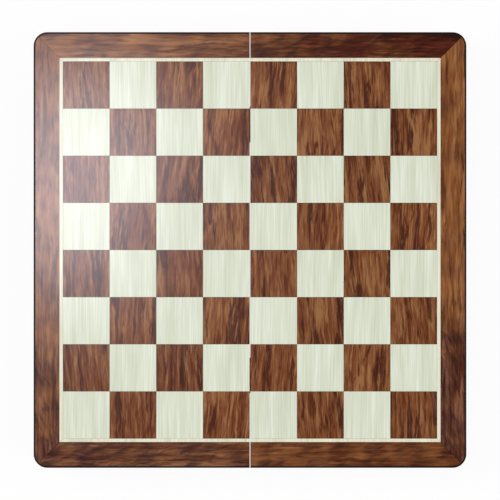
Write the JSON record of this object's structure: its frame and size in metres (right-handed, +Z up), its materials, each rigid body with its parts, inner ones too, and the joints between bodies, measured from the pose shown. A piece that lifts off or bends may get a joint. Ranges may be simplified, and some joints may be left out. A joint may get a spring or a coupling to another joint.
{
  "type": "folding chess set",
  "caption": "Folding chess board with walnut and maple veneer and black sides, hinged at the middle, men in foam trays inside.",
  "frame": {"origin": "under the middle of the seam, on the surface that the open board stands on", "axes": "+Z up through the playing face, +Y along the seam, +X across it towards the half that folds"},
  "size_m": [0.3792, 0.381, 0.0377],
  "materials": {
    "dark_veneer": "satin lacquered walnut",
    "light_veneer": "satin lacquered maple",
    "black_lacquered_case": "black satin lacquer",
    "brass": "polished",
    "felt": "wool felt",
    "flocked_foam": "flocked",
    "boxwood": "satin lacquered",
    "stained_wood": "stained, satin lacquered"
  },
  "bodies": {
    "left_half": {"back_hinge_left_leaf": "brass", "back_hinge_pin": "brass", "catch_studs": "brass", "front_hinge_left_leaf": "brass", "front_hinge_pin": "brass", "left_back_rail": "black_lacquered_case", "left_band": "light_veneer", "left_border_back": "dark_veneer", "left_border_front": "dark_veneer", "left_border_outer": "dark_veneer", "left_dark_squares": "dark_veneer", "left_deck": "black_lacquered_case", "left_felt_lining": "felt", "left_foam_tray": "flocked_foam", "left_front_rail": "black_lacquered_case", "left_hinge_screws": "brass", "left_light_squares": "light_veneer", "left_outer_rail": "black_lacquered_case", "left_seam_rail": "black_lacquered_case", "white_base_felts": "felt", "white_bishops": "boxwood", "white_king": "boxwood", "white_knights": "boxwood", "white_pawns": "boxwood", "white_queen": "boxwood", "white_rooks": "boxwood"},
    "right_half": {"back_hinge_right_leaf": "brass", "black_base_felts": "felt", "black_bishops": "stained_wood", "black_king": "stained_wood", "black_knights": "stained_wood", "black_pawns": "stained_wood", "black_queen": "stained_wood", "black_rooks": "stained_wood", "front_hinge_right_leaf": "brass", "hook_pivot_screws": "brass", "right_back_rail": "black_lacquered_case", "right_band": "light_veneer", "right_border_back": "dark_veneer", "right_border_front": "dark_veneer", "right_border_outer": "dark_veneer", "right_dark_squares": "dark_veneer", "right_deck": "black_lacquered_case", "right_felt_lining": "felt", "right_foam_tray": "flocked_foam", "right_front_rail": "black_lacquered_case", "right_hinge_screws": "brass", "right_light_squares": "light_veneer", "right_outer_rail": "black_lacquered_case", "right_seam_rail": "black_lacquered_case"},
    "front_hook": {"front_hook": "brass"},
    "back_hook": {"back_hook": "brass"}
  },
  "joints": [
    {"name": "fold", "type": "hinge", "parent": "left_half", "child": "right_half", "pos_m": [0, 0, 0.0016], "axis": [0, 1, 0], "range_deg": [0, 180]},
    {"name": "front_latch", "type": "hinge", "parent": "right_half", "child": "front_hook", "pos_m": [0.18795, -0.1, 0.0107], "axis": [-1, 0, 0], "range_deg": [0, 90]},
    {"name": "back_latch", "type": "hinge", "parent": "right_half", "child": "back_hook", "pos_m": [0.18795, 0.1, 0.0107], "axis": [1, 0, 0], "range_deg": [0, 90]}
  ]
}
